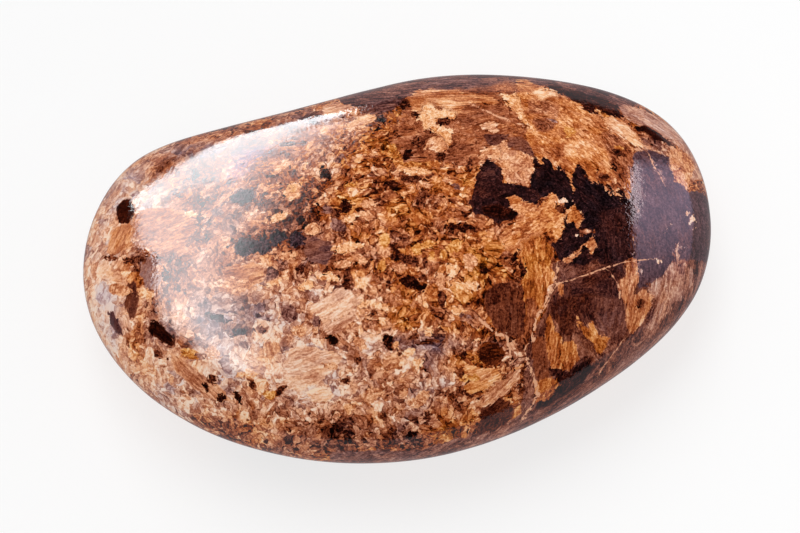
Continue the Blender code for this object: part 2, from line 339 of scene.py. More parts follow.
# Bronze flakes, in the same way.
FLAKE_MARKS = {
    "orange_band": (0.5, 0.1, -55, [
        (5.8, 8.93), (6.2, 9.12), (7, 8.82), (8.1, 8.53), (8.8, 8.22), (9.1, 7.83), (9.6, 7.62),
        (10, 7.42), (10.3, 6.92), (10.6, 6.33), (11.1, 5.72), (11.5, 5.12), (11.45, 4.33), (11.55, 3.38),
        (11.2, 3.73), (10.9, 4.22), (10.8, 3.62), (10.5, 4.03), (10.3, 4.33), (10.55, 3.48),
        (10.2, 4.12), (10, 4.33), (9.9, 4.12), (9.4, 4.42), (9.15, 4.92), (8.85, 5.17), (8.6, 4.72),
        (8.7, 3.62), (8.5, 4.33), (8.3, 4.72), (8, 5.08), (7.8, 4.88), (7.45, 5.33), (7.15, 5.47),
        (7.1, 5.12), (6.75, 5.58), (6.5, 6.03), (6.3, 6.62), (6.5, 7.22), (6.1, 7.83)]),
    "band_light": (0.58, 0.2, -55, [
        (8.15, 5.97), (8.7, 6.22), (9.5, 6.38), (10, 6.28), (10.35, 5.78), (10.55, 5.12), (10.8, 4.33),
        (10.4, 4.42), (9.9, 5.03), (9.3, 5.28), (8.75, 5.47), (8.3, 5.42)]),
    "band_rose": (0.5, 0.5, -60, [
        (6.4, 8.43), (7.3, 8.32), (8, 8.03), (7.9, 7.42), (7.2, 7.53), (6.5, 7.72)]),
    "band_maroon": (0.3, 0.7, -60, [
        (6.7, 7.42), (7.4, 7.42), (7.8, 7.12), (7.5, 6.72), (7, 6.72), (6.65, 7.03)]),
    "band_light_strip": (0.66, 0.35, -45, [
        (10.1, 7.42), (10.6, 7.58), (11.1, 7.28), (11.7, 6.83), (12.1, 6.22), (12.5, 5.53), (12.2, 5.83),
        (11.7, 6.12), (11.2, 6.47), (10.6, 6.78), (10.2, 7.12)]),
    "band_deep": (0.35, 0.5, -70, [
        (10.1, 6.83), (10.6, 6.62), (11.2, 6.22), (11.6, 5.83), (11.6, 5.03), (11.4, 4.42),
        (11.45, 3.38), (11.05, 3.73), (10.75, 4.42), (10.55, 5.33), (10.2, 6.12)]),
    "band_leaf": (0.7, 0.4, 35, [
        (-2.8, 6.78), (-2.5, 7.13), (-2.1, 7.48), (-1.7, 7.63), (-1.25, 7.58), (-1.2, 7.38), (-1.6, 7.13),
        (-2, 6.93), (-2.4, 6.78)]),
    "rim_peach": (0.6, 0.8, 15, [
        (-3.95, 7.58), (-3.75, 7.93), (-3.3, 8.18), (-2.75, 8.13), (-2.2, 8.03), (-1.95, 7.83),
        (-2.2, 7.58), (-2.75, 7.63), (-3.25, 7.68), (-3.65, 7.53)]),
    "rim_copper": (0.5, 0.1, 0, [
        (5.8, 9.32), (6.5, 9.22), (7.1, 8.97), (7, 8.72), (6.4, 8.82), (5.9, 8.93)]),
    "egg": (0.57, 0.5, 80, [
        (5, 6.17), (5.3, 6.38), (5.4, 5.88), (5.75, 5.83), (6.25, 5.62), (6.7, 5.38), (6.7, 4.83),
        (6.55, 4.33), (6.45, 3.98), (6, 4.12), (5.5, 4.17), (5.2, 4.33), (5.1, 4.83), (5, 5.33)]),
    "egg_arm": (0.64, 0.5, 30, [
        (4, 5.42), (4.1, 5.83), (4.4, 6.03), (4.8, 6.03), (5, 5.83), (5, 5.33), (4.7, 5.33),
        (4.35, 5.42), (4.1, 5.12)]),
    "cream_leaf": (0.74, 0.1, -60, [
        (5, 8.68), (5.35, 8.62), (5.75, 8.62), (5.95, 8.43), (6.1, 7.92), (6.25, 7.42), (6.7, 6.92),
        (7.1, 6.22), (6.8, 6.42), (6.4, 6.92), (5.95, 7.38), (5.6, 7.83), (5.3, 8.18)]),
    "cream_patch": (0.72, 0.1, 70, [
        (1.1, 8.18), (1.45, 8.28), (1.7, 8.12), (1.85, 7.72), (2.2, 7.92), (2.5, 7.83), (2.8, 7.62),
        (2.8, 7.33), (2.5, 7.33), (2, 7.42), (1.9, 7.08), (2.25, 6.97), (2.55, 6.83), (2.65, 6.53),
        (2.6, 6.22), (2.45, 5.88), (2.25, 6.28), (2, 6.58), (1.55, 6.67), (1.2, 6.92), (1, 7.17),
        (0.7, 7.42), (1.05, 7.62)]),
    "copper_back": (0.55, 0.3, 0, [
        (0.2, 8.18), (0.45, 8.57), (1, 8.78), (1.6, 8.82), (2.3, 8.82), (3.1, 8.78), (3.7, 8.62),
        (4.5, 8.53), (4.9, 8.43), (4.8, 8.03), (4.3, 8.12), (3.7, 8.12), (3.2, 8.03), (2.9, 7.62),
        (2.5, 7.92), (2, 8.03), (1.5, 8.22), (1, 8.03), (1.05, 7.72), (0.7, 7.88)]),
    "pink_patch": (0.7, 0.7, 30, [
        (4, 7.03), (4.3, 7.22), (4.7, 7.28), (4.9, 7.12), (4.95, 6.67), (4.6, 6.78), (4.25, 6.83)]),
    "white_fleck": (0.86, 0.1, 0, [
        (6.5, 8.68), (7, 8.88), (7.4, 8.93), (7.9, 8.62), (7.8, 8.43), (7.3, 8.47), (7, 8.38)]),
    "cream_under": (0.66, 0.4, 60, [
        (1.2, 5.92), (1.5, 6.42), (2, 6.53), (2.3, 6.22), (2.45, 5.83), (2, 5.72), (1.7, 5.78)]),
    "copper_plate": (0.58, 0.1, 35, [
        (5.3, 3.48), (5.7, 3.52), (6.1, 3.33), (6.55, 3.17), (6.9, 3.02), (7.25, 3.17), (7.55, 3.83),
        (7.8, 3.62), (8, 3.33), (8.05, 2.92), (8.25, 2.62), (8.1, 2.23), (8.15, 1.73), (8, 1.32),
        (7.8, 1.62), (7.6, 1.82), (7.3, 1.77), (7, 1.52), (6.6, 1.43), (6.3, 1.23), (6, 0.78),
        (5.6, 0.72), (5.25, 0.93), (5, 1.43), (5.3, 1.93), (5.7, 2.23), (5.9, 2.62), (5.6, 2.92)]),
    "orange_pillar": (0.5, -0.2, 84, [
        (6, 1.23), (6.5, 1.48), (7.1, 1.52), (7.45, 1.12), (7.6, 0.57), (7.55, -0.07), (7.8, -0.28),
        (7.6, -0.88), (7.3, -1.48), (7.05, -2.08), (6.75, -2.48), (6.4, -2.27), (6.2, -1.68),
        (6.05, -0.68), (6.15, 0.23)]),
    "brown_pillar": (0.38, 0.3, 86, [
        (6.3, -1.48), (6.8, -1.68), (7, -2.08), (6.8, -2.58), (6.7, -3.27), (6.3, -3.67), (6.2, -2.88),
        (6.3, -2.08)]),
    "island_a": (0.56, 0.1, 45, [
        (8.3, 2.73), (8.55, 3.02), (8.75, 3.12), (9, 2.73), (9.15, 2.42), (9.05, 2.02), (8.9, 1.82),
        (8.65, 2.23), (8.3, 2.12)]),
    "island_b": (0.52, 0.3, 35, [
        (8.2, 0.33), (8.5, 0.53), (8.8, 0.82), (9.1, 1.12), (9.4, 1.32), (9.6, 1.62), (9.75, 1.23),
        (9.85, 1.02), (9.6, 0.62), (9.45, 0.82), (9.3, 1.02), (9, 0.82), (8.75, 0.53), (8.65, 0.23),
        (8.35, 0.07)]),
    "right_patch": (0.58, 0.35, 75, [
        (13.6, 5.97), (14, 5.88), (14.5, 5.58), (14.7, 5.08), (14.6, 4.42), (14.4, 3.83), (14.2, 4.12),
        (13.75, 4.28), (13.7, 4.72), (13.45, 5.08), (13.55, 5.58)]),
    "flames_right": (0.47, 1.3, 75, [
        (13.8, 1.12), (14, 1.12), (13.95, 0.53), (13.85, 0.03), (14.2, 0.23), (14.5, 0.12),
        (14.7, -0.38), (14.8, -0.72), (14.5, -1.02), (14.4, -1.32), (14.1, -1.73), (13.7, -1.88),
        (13.4, -2.27), (13, -2.77), (12.6, -3.17), (12.3, -3.08), (12.6, -2.48), (12.8, -1.68),
        (12.5, -1.48), (12.4, -1.12), (12.7, -0.78), (13.1, -0.53), (13.4, -0.17), (13.65, 0.33)]),
    "flames_left": (0.49, 0.4, 80, [
        (11.25, 0.23), (11.7, 0.42), (11.9, 0.12), (11.9, -0.57), (11.75, -1.07), (11.45, -1.57),
        (11.9, -1.32), (12.25, -1.18), (12.65, -1.48), (12.6, -1.98), (12.25, -2.58), (12, -2.98),
        (11.7, -3.42), (11.45, -3.33), (11.3, -2.67), (11.35, -1.98), (11.1, -1.57), (10.85, -1.18),
        (11, -0.68), (11.25, -0.38)]),
    "edge_flame": (0.45, 0.1, 88, [
        (8, -0.78), (8.2, -0.97), (8.15, -1.57), (8, -1.57), (7.9, -1.18)]),
    "orange_tongue_a": (0.46, 0.0, 84, [
        (7.3, -2.77), (7.45, -2.33), (7.65, -2.77), (7.8, -3.27), (8.05, -3.48), (8.2, -3.98),
        (8.35, -3.67), (8.6, -3.73), (8.9, -4.17), (9, -4.58), (8.7, -4.97), (8.3, -5.33), (8, -5.08),
        (7.6, -5.12), (7.4, -4.67), (7.3, -3.92), (7.25, -3.27)]),
    "orange_tongue_b": (0.5, -0.2, -60, [
        (8.85, -2.42), (9.1, -2.88), (9.4, -3.27), (9.45, -2.77), (9.7, -2.77), (9.85, -3.27),
        (10.1, -3.58), (10.25, -3.38), (10.45, -3.58), (10.3, -4.08), (10, -4.33), (9.7, -3.98),
        (9.4, -3.67), (9.15, -3.38), (8.9, -2.98)]),
    "orange_foot": (0.44, -0.1, 80, [
        (6.65, -5.78), (7.3, -5.47), (7.7, -5.58), (8, -5.88), (7.65, -6.38), (7.1, -6.78),
        (6.65, -6.83), (6.8, -6.28)]),
    "ochre_grain": (0.4, -0.5, 0, [
        (4.2, 1.12), (4.6, 1.32), (5.05, 1.18), (5.1, 0.62), (4.7, 0.47), (4.25, 0.62)]),
    "pale_mineral": (0.7, 0.0, 20, [
        (3.05, -5.12), (3.4, -4.88), (3.9, -5.08), (4.5, -5.08), (5.1, -4.92), (5, -5.42), (4.6, -5.88),
        (4.2, -6.17), (3.7, -6.28), (3.2, -6.28), (3.15, -6.03), (3.55, -5.72), (3.7, -5.38),
        (3.3, -5.28)]),
    "low_feather": (0.58, 0.6, 45, [
        (3.9, -6.78), (4.3, -6.28), (5, -5.78), (5.6, -5.17), (6, -4.88), (5.9, -5.58), (5.4, -6.28),
        (4.7, -6.67), (4.2, -7.08)]),
    "pale_feather": (0.68, 0.9, 30, [
        (-4.6, -2.08), (-4.2, -1.77), (-3.7, -1.48), (-3.3, -1.12), (-2.9, -1.02), (-2.5, -1.18),
        (-2.2, -1.52), (-2, -1.82), (-2.2, -2.17), (-2.8, -2.38), (-3.3, -2.67), (-3.9, -2.67),
        (-4.3, -2.38)]),
    "feather_tail": (0.58, 1.0, 35, [
        (-3.9, -2.67), (-3.2, -2.67), (-2.6, -2.38), (-2.1, -2.17), (-2.4, -2.67), (-2.9, -3.17),
        (-3.5, -3.38), (-3.9, -3.08)]),
    "rose_plate": (0.68, 0.9, 15, [
        (-5.8, -4.78), (-5.5, -4.17), (-4.75, -3.92), (-3.75, -4.17), (-2.85, -4.47), (-3.2, -4.97),
        (-4, -5.67), (-5, -6.28), (-5.6, -6.08), (-5.9, -5.42)]),
    "cream_left": (0.46, 0.3, 10, [
        (-13.3, 2.62), (-12.5, 2.92), (-11.4, 2.83), (-10.5, 2.52), (-10.2, 1.82), (-10.8, 1.02),
        (-11.7, 0.53), (-12.6, 0.82), (-13.2, 1.52)]),
    "peach_left": (0.5, 0.4, 10, [
        (-8.9, -0.28), (-8.3, 0.12), (-7.4, 0.23), (-6.8, -0.07), (-6.9, -0.68), (-7.6, -1.18),
        (-8.5, -1.18)]),
    "white_grain": (0.8, 0.7, 15, [
        (-4.7, -6.33), (-4.25, -6.03), (-3.6, -6.08), (-3.25, -6.47), (-3.7, -6.78), (-4.4, -6.72)]),
    "left_flame": (0.55, 0.4, 80, [
        (-14.7, 0.82), (-14.5, 1.52), (-14.1, 2.02), (-13.6, 2.23), (-13.2, 1.93), (-13.4, 1.23),
        (-13.9, 0.72), (-14.4, 0.42)]),
    "low_left_copper": (0.54, 0.6, -40, [
        (-11.7, -4.08), (-10.7, -4.78), (-9.7, -5.47), (-8.7, -6.28), (-8.4, -6.88), (-9.3, -6.67),
        (-10.4, -6.08), (-11.3, -5.17)]),
}
# Small chips by kind: tone and hue, then the middle, half length, half width and tilt of each.
CHIPS = {
    "black": (0.02, 0.8, [
        (0.5, -0.78, 0.45, 0.35, -15), (0.95, -1.07, 0.3, 0.2, -30), (3.25, 1.93, 0.5, 0.2, -5),
        (2.6, 1.98, 0.3, 0.15, 10),
        (-2.7, 3.02, 0.4, 0.3, -60), (-3.7, 4.62, 0.4, 0.3, -60), (-0.3, 4.03, 0.2, 0.15, 0),
        (0.25, 8.12, 0.3, 0.25, 0), (0.8, 7.62, 0.25, 0.15, 0), (0.35, 5.53, 0.25, 0.2, 60),
        (-3.4, -3.73, 0.3, 0.25, 0), (-0.6, -3.77, 0.4, 0.25, -70),
        (5.8, 0.53, 0.3, 0.15, 60), (6.1, -0.07, 0.45, 0.12, 84), (4.2, -0.23, 0.2, 0.15, 0),
        (10.85, 5.67, 0.25, 0.15, -30), (10.7, 5.03, 0.25, 0.15, -60), (6.8, 5.03, 0.15, 0.1, 0),
        (-9.75, -5.97, 0.25, 0.15, -50), (-8.9, -6.58, 0.3, 0.15, 0), (-8, -6.67, 0.35, 0.15, -60),
        (-0.25, 0.42, 0.25, 0.15, 0)]),
    "dark": (0.17, 0.7, [
        (10.1, 4.47, 0.35, 0.11, -50), (10.6, 4.22, 0.35, 0.09, -60), (9.3, 4.62, 0.2, 0.07, -60),
        (1.5, -3.73, 0.6, 0.15, 5), (0.6, -3.58, 0.4, 0.12, 20), (-2.6, -0.57, 0.5, 0.25, 75),
        (0.4, 0.33, 0.5, 0.25, -20), (-3.2, 2.67, 0.3, 0.25, 0), (2.15, 7.28, 0.35, 0.2, 0),
        (1.5, 6.72, 0.25, 0.2, 0), (0.95, 6.22, 0.35, 0.25, 0), (2, 5.53, 0.25, 0.2, 90),
        (3.45, 5.17, 0.35, 0.15, 85), (0.6, 4.38, 0.6, 0.15, 8), (1.5, 4.53, 0.3, 0.15, 30),
        (-0.45, 4.12, 0.4, 0.12, 0), (1.25, 0.23, 0.15, 0.3, 0), (-2.7, -5.72, 0.25, 0.2, 0),
        (-2.15, -4.67, 0.25, 0.2, 0), (12.05, -1.88, 0.3, 0.2, 75), (9.25, 1.73, 0.25, 0.15, 0),
        (-13.35, 0.33, 0.6, 0.15, 0), (-14.4, 0.42, 0.4, 0.15, 0), (-7.4, -5.88, 0.4, 0.15, -50),
        (-9.3, -5.67, 0.35, 0.2, -50), (-12, -4.42, 0.3, 0.15, -40), (-6, -6.28, 0.35, 0.15, 40),
        (-0.25, 0.82, 0.4, 0.15, -30), (-4.1, 3.52, 0.4, 0.15, 20), (8, 2.92, 0.25, 0.15, -30),
        (-1.4, -2.38, 0.25, 0.15, 40), (-5, 3.33, 0.45, 0.2, 70), (-5.2, 2.62, 0.3, 0.25, 0),
        (2.1, -1.68, 0.2, 0.5, 10)]),
    "grey": (0.2, 2.0, [
        (-7.7, 0.93, 0.65, 0.45, 0), (-6.85, 1.02, 0.4, 0.4, 0), (-6.15, 1.43, 0.45, 0.35, 10),
        (-5.15, 1.32, 0.4, 0.4, 0), (-7.8, 3.52, 0.7, 0.35, 5), (-9.1, -2.58, 0.6, 0.2, -20),
        (-8, -3.27, 0.55, 0.2, 10)]),
    "mauve": (0.36, 1.5, [
        (-9.1, 2.73, 0.3, 0.25, 0), (-3.1, 2.12, 0.4, 0.3, -30), (-5.55, -2.27, 0.4, 0.45, 0),
        (2.8, 3.98, 0.2, 0.15, 0), (3.4, -2.48, 0.3, 0.15, 0), (-3, 5.42, 0.3, 0.2, 50),
        (-6.9, -3.17, 0.25, 0.2, 0), (-11.5, 0.42, 0.3, 0.15, 30), (-7.8, -3.92, 0.25, 0.35, 60),
        (-4.2, -2.77, 0.2, 0.3, 0), (-6.4, -0.47, 0.3, 0.45, 0), (-3.65, 2.83, 0.3, 0.25, 0)]),
    "cream": (0.74, 0.2, [
        (-2.65, 0.93, 0.65, 0.25, 12), (-3.6, -0.53, 0.65, 0.15, -12), (-4.7, -0.97, 0.45, 0.2, 25),
        (-2.45, 2.38, 0.4, 0.2, 20), (-6, 2.48, 0.55, 0.2, 20), (-2.05, -0.78, 0.35, 0.3, -60),
        (-0.95, -1.98, 0.8, 0.15, -20), (-1.7, -1.88, 0.35, 0.15, 20), (0.5, 4.83, 0.5, 0.15, -8),
        (1.3, 4.72, 0.3, 0.15, 0), (2.6, -0.17, 0.3, 0.35, 60), (-5.35, 3.73, 0.45, 0.4, 60),
        (-6.8, -4.58, 0.4, 0.2, 20), (3.5, -0.93, 0.4, 0.2, -10), (1.5, -3.23, 0.3, 0.2, 60),
        (0.9, -4.78, 0.35, 0.2, 30), (-0.8, -2.67, 0.25, 0.15, 0), (-6.2, -0.78, 0.5, 0.15, 20),
        (-7.5, -5.38, 0.6, 0.2, 0), (-12.7, -1.38, 0.35, 0.2, 0), (-13.65, -0.28, 0.25, 0.15, 0),
        (-10.5, 2.62, 0.25, 0.15, 0), (-0.2, -3.92, 0.2, 0.15, 0), (0.5, -4.28, 0.3, 0.15, 40)]),
    "peach": (0.6, 0.45, [
        (10.4, 3.88, 0.4, 0.08, -65), (10.85, 3.83, 0.5, 0.08, -80), (7.75, 5.17, 0.3, 0.11, -45),
        (11.2, 3.73, 0.35, 0.08, -60), (-4.4, 1.88, 0.45, 0.35, 0), (-3.9, 3.23, 0.4, 0.2, 10),
        (-1.7, 2.52, 0.35, 0.25, 0), (-1.5, 3.12, 0.3, 0.2, 0), (-1.2, -1.07, 0.5, 0.2, 40),
        (0.2, -0.07, 0.6, 0.15, 0), (-5.75, 0.53, 0.6, 0.25, 10), (2, -0.68, 0.25, 0.45, 20),
        (-2.8, 0.07, 0.5, 0.2, 0), (-2, 0.42, 0.25, 0.4, 60), (-0.8, 0.82, 0.45, 0.3, -40),
        (3.5, 0.23, 0.35, 0.45, 0), (-8.2, -0.97, 0.8, 0.35, 0), (-14, -1.18, 0.3, 0.6, 80),
        (-6.5, -4.17, 0.6, 0.35, 20), (-2, -3.88, 0.4, 0.25, -40), (-12, -0.17, 0.2, 0.2, 0),
        (-0.4, -4.67, 0.5, 0.3, 30), (-1.4, -6.38, 0.6, 0.3, 20), (1, -6.67, 0.6, 0.3, 30),
        (-5, -3.17, 0.45, 0.3, 0), (-3.5, -4.97, 0.4, 0.2, 0), (-9.3, -4.28, 0.4, 0.25, -30)]),
    "gold": (0.58, -0.6, [
        (-10.6, -4.38, 0.45, 0.25, -5), (-6.5, -6.47, 0.35, 0.2, 0), (-0.9, 0.03, 0.3, 0.25, 60),
        (-0.8, 1.32, 0.25, 0.4, 0), (1.4, 1.12, 0.4, 0.2, 20), (2.7, 1.02, 0.4, 0.3, 30),
        (-0.4, 5.92, 0.3, 0.25, 40), (-2.4, 4.03, 0.3, 0.15, 0), (1.6, 0.62, 0.2, 0.25, 0),
        (11, 5.92, 0.2, 0.15, 0), (8.5, 6.72, 0.3, 0.25, 0), (3.5, -5.58, 0.4, 0.15, 0),
        (-5.4, 3.92, 0.2, 0.2, 0), (0.9, 0.82, 0.25, 0.35, 0), (2.1, 0.62, 0.25, 0.25, 0)]),
    "white": (0.82, 0.9, [
        (13.4, 2.02, 0.2, 0.1, 60), (14.4, 2.67, 0.12, 0.09, 0), (14.6, 2.33, 0.2, 0.1, 60),
        (14.65, 1.93, 0.15, 0.08, 60), (12.95, 0.33, 0.15, 0.07, -30), (7.5, -1.18, 0.4, 0.09, 68),
        (8.85, 1.62, 0.12, 0.1, 0), (9.35, 1.77, 0.12, 0.09, 0), (8.15, 3.27, 0.2, 0.07, 10)]),
    "pink": (0.55, 1.7, [
        (11.6, 4.42, 0.45, 0.08, 88), (11.85, 2.73, 0.3, 0.08, 80), (11.75, 1.12, 0.4, 0.07, 88),
        (12.05, -0.28, 0.25, 0.06, -75), (12.6, 5.22, 0.35, 0.06, -60), (13.2, 4.42, 0.3, 0.06, -60),
        (14.05, 0.93, 0.25, 0.07, 15), (7.65, 7.22, 0.2, 0.07, -30)]),
}
# Veins: the half width in mm, then the course.
VEIN_MARKS = {
    "main": (0.075, [
        (7.85, -0.07), (7.7, -0.88), (7.4, -1.48), (7.15, -2.08), (6.85, -2.48), (6.75, -3.08),
        (6.65, -3.67), (6.35, -3.92), (6.2, -4.28), (6.35, -4.67), (6.6, -5.28), (6.8, -5.88),
        (6.9, -6.47), (6.5, -7.08), (6.15, -7.58)]),
    "beside_main": (0.04, [
        (8, -0.72), (7.65, -1.18), (7.45, -1.68), (7.2, -2.12)]),
    "right": (0.032, [
        (7.8, -0.88), (8.4, -0.72), (9, -0.53), (10, -0.17), (11.2, 0.23), (12.4, 0.33)]),
    "left": (0.07, [
        (4, -2.67), (4.4, -3.02), (4.8, -3.33), (5.2, -3.48), (5.6, -3.73)]),
    "left_branch": (0.06, [
        (5.35, -3.62), (5.45, -4.08), (5.55, -4.53)]),
    "curl": (0.035, [
        (10.55, -0.38), (10.8, -0.68), (10.95, -1.07), (11, -1.52)]),
    "back": (0.035, [
        (3.5, 8.12), (4.4, 7.72), (5.3, 7.33), (6, 7.12)]),
    "tan_line": (0.03, [
        (12, 6.22), (12.4, 5.62), (12.8, 4.92), (13.1, 4.33)]),
    "rim_line": (0.02, [
        (10, -5.28), (10.4, -4.67), (10.8, -4.17), (11.1, -3.77)]),
}
print("marks drawn:", sum(map(len, (GROUND_MARKS, DARK_MARKS, FLAKE_MARKS, VEIN_MARKS))), "and chips:",
      sum(len(chips) for _, _, chips in CHIPS.values()))

# %% [markdown]
# ## From outlines to the skin
#
# An outline could be cut into the mesh, or painted on an image and pasted on. Here it becomes a
# number instead. Every corner of the skin notes how deep it lies inside the marks, in mm, and
# negative outside them. The material finds an edge where that depth passes 0, so the edge is crisp
# even between two corners, and a pattern added to the depth frays it like the edge of a crystal.
#
# First each corner needs its place on the drawing plane, and how far its skin is turned towards the
# camera or away from it.

# %% See the skin from the camera


def as_seen(points):
    """Where points in mm appear on the drawing plane, with the lens's perspective."""
    offsets = points - LOOKED_AT
    nearer = VIEW_DISTANCE / (VIEW_DISTANCE - offsets @ TO_CAMERA)
    return np.column_stack([offsets @ DRAWN_RIGHT, offsets @ DRAWN_UP]) * nearer[:, None]


normals = np.empty(len(skin.vertices) * 3, np.float32)
skin.vertices.foreach_get("normal", normals)
normals = normals.reshape(-1, 3).astype(float)
to_eye = LOOKED_AT + VIEW_DISTANCE * TO_CAMERA - skin_points
to_eye /= np.linalg.norm(to_eye, axis=1, keepdims=True)
turned_to_eye = (normals * to_eye).sum(axis=1)
drawn = as_seen(skin_points)
print("corners turned to the camera:", int((turned_to_eye > 0).sum()), "of", len(drawn))

# %% Depth in outlines
# Depths are only needed near an outline, so they stop at this far outside, in mm.
FAR_OUTSIDE = 1.5


def distance_to_course(points, course):
    """The distance from each point to a broken line, and on which side of it the point lies."""
    nearest = np.full(len(points), np.inf)
    side = np.ones(len(points))
    for start, end in zip(course[:-1], course[1:]):
        run = end - start
        along = np.clip((points - start) @ run / (run @ run), 0, 1)
        offset = points - start - along[:, None] * run
        distance = np.linalg.norm(offset, axis=1)
        closer = distance < nearest
        nearest[closer] = distance[closer]
        side[closer] = np.sign(run[0] * offset[closer, 1] - run[1] * offset[closer, 0])
    return nearest, side


def depth_inside(points, outline):
    """How deep each point lies inside a closed outline, in mm; it is negative outside."""
    outline = np.array(outline)
    depth = np.full(len(points), -FAR_OUTSIDE)
    low, high = outline.min(axis=0) - FAR_OUTSIDE, outline.max(axis=0) + FAR_OUTSIDE
    near = ((points > low) & (points < high)).all(axis=1)
    close = points[near]
    closed = np.vstack([outline, outline[:1]])
    distance, _ = distance_to_course(close, closed)
    inside = np.zeros(len(close), bool)
    for (u0, v0), (u1, v1) in zip(closed[:-1], closed[1:]):
        crosses = (v0 > close[:, 1]) != (v1 > close[:, 1])
        if v0 != v1:
            inside ^= crosses & (close[:, 0] < u0 + (close[:, 1] - v0) * (u1 - u0) / (v1 - v0))
    depth[near] = np.maximum(np.where(inside, distance, -distance), -FAR_OUTSIDE)
    return depth


def depth_in_chip(points, chip):
    """How deep each point lies inside a chip, an oval with a tilt, in mm."""
    u, v, half_length, half_width, tilt = chip
    along = np.array([np.cos(np.radians(tilt)), np.sin(np.radians(tilt))])
    offsets = points - (u, v)
    lengthwise = offsets @ along / half_length
    sideways = (offsets[:, 1] * along[0] - offsets[:, 0] * along[1]) / half_width
    return np.maximum((1 - np.hypot(lengthwise, sideways)) * half_width, -FAR_OUTSIDE)


probe = np.array([[0.0, 0.0], [3.0, 0.0]])
print("depth in a 2 mm square, mm:", depth_inside(probe, [(-1, -1), (1, -1), (1, 1), (-1, 1)]))

# %% Frayed places
# A grain's edge is never a clean line, so every corner looks its place up a little to one side:
# up to about this far in mm, with so many swings to a mm.
FRAY = 0.12
FRAYS_PER_MM = 2.2
# Blender takes the start of these random vectors from the clock unless it is given one.
FRAY_SEED = 7


def noise_at(points, per_mm):
    """A smooth random vector at each point."""
    return np.array([noise.noise_vector(point * per_mm) for point in points])


noise.seed_set(FRAY_SEED)
frays = noise_at(skin_points, FRAYS_PER_MM) * FRAY
drawn_frayed = drawn + np.column_stack([frays @ DRAWN_RIGHT, frays @ DRAWN_UP])
print("places frayed by up to, mm:", round(float(np.abs(drawn_frayed - drawn).max()), 2))

# %% [markdown]
# The marks are drawn from one side only. Carried on round the stone they would smear into streaks,
# so they die out a little way past the rim, and large plates made by a pattern take over there. A
# real stone has no such line, so the place where this happens wanders up and down the flank.

# %% Where the marks die out
# How far past the rim that happens, as the share by which the skin faces away, how far apart the
# wanderings are in mm, the depth that a mark loses for a full turn from there, in mm, and the turn
# after which only plates are left.
PAST_RIM = 0.22
WANDER_LENGTH = 3.0
RIM_LOSS = 8.0
FULLY_AWAY = 0.25

wander = PAST_RIM * (1 + noise_at(skin_points, 1 / WANDER_LENGTH)[:, 0])
turned_past = np.maximum(-turned_to_eye - wander, 0)
print("marks die out where the skin faces away by:", wander.min().round(2), "to", wander.max().round(2))

# %% Lay the marks on the skin
# Two grains of one layer blend over this half width in mm.
BLEND = 0.06
notes = []


def note(name, values):
    """Keeps one number for each corner of the skin, for the material to read."""
    skin.attributes.new(name, "FLOAT", "POINT").data.foreach_set("value", values.astype(np.float32))
    notes.append(name)


def lay(layer, traits, marks):
    """Notes how deep every corner lies in a layer's marks, and the traits of the mark that it is in.

    Each mark is its depth at every corner and its traits. A later mark lies over an earlier one,
    and outside all of them a corner takes the traits of the mark that is nearest.
    """
    deepest = np.full(len(drawn), -FAR_OUTSIDE)
    taken = np.zeros((len(traits), len(drawn)))
    for depth, *values in marks:
        depth = depth - RIM_LOSS * turned_past
        share = np.where((depth > deepest) & (deepest < 0), 1, np.clip(0.5 + depth / BLEND / 2, 0, 1))
        taken += share * (np.array(values)[:, None] - taken)
        deepest = np.maximum(deepest, depth)
    note(layer + "_depth", np.maximum(deepest, -FAR_OUTSIDE))
    for trait, numbers in zip(traits, taken):
        note(layer + "_" + trait, numbers)
    print(layer, "covers corners:", int((deepest > 0).sum()))


for layer, marks in (("ground", GROUND_MARKS), ("dark", DARK_MARKS), ("flake", FLAKE_MARKS)):
    lay(layer, ["tone", "hue", "run"],
        [(depth_inside(drawn_frayed, outline), *values) for *values, outline in marks.values()])
lay("chip", ["tone", "hue"], [(depth_in_chip(drawn_frayed, chip), kind_tone, kind_hue)
                              for kind_tone, kind_hue, chips in CHIPS.values() for chip in chips])
for vein, (_, course) in VEIN_MARKS.items():
    distance, side = distance_to_course(drawn, np.array(course))
    distance = np.minimum(distance, FAR_OUTSIDE)
    note("vein_" + vein, distance * side)
    note("near_" + vein, np.where(turned_to_eye > 0, distance, FAR_OUTSIDE))
note("turned_away", np.clip(turned_past / FULLY_AWAY, 0, 1))

# %% [markdown]
# ## Zones
#
# Between the marks the rock is a crowd of small crystals, and it isn't the same all over: it is
# paler and rosier at one end, and ochre at the heart. A zone is a soft oval on the drawing plane that
# shifts the crowd's colour; one of them also paints shade along the bottom rim. Two numbers hold all
# the colour of the rock. Its tone goes from 0, black, to about 0.9, cream. Its hue goes from -1, gold,
# through 0, copper, and 1, rose, to 2, mauve.

# %% Zones
USUAL_TONE = 0.45
USUAL_HUE = 0.1
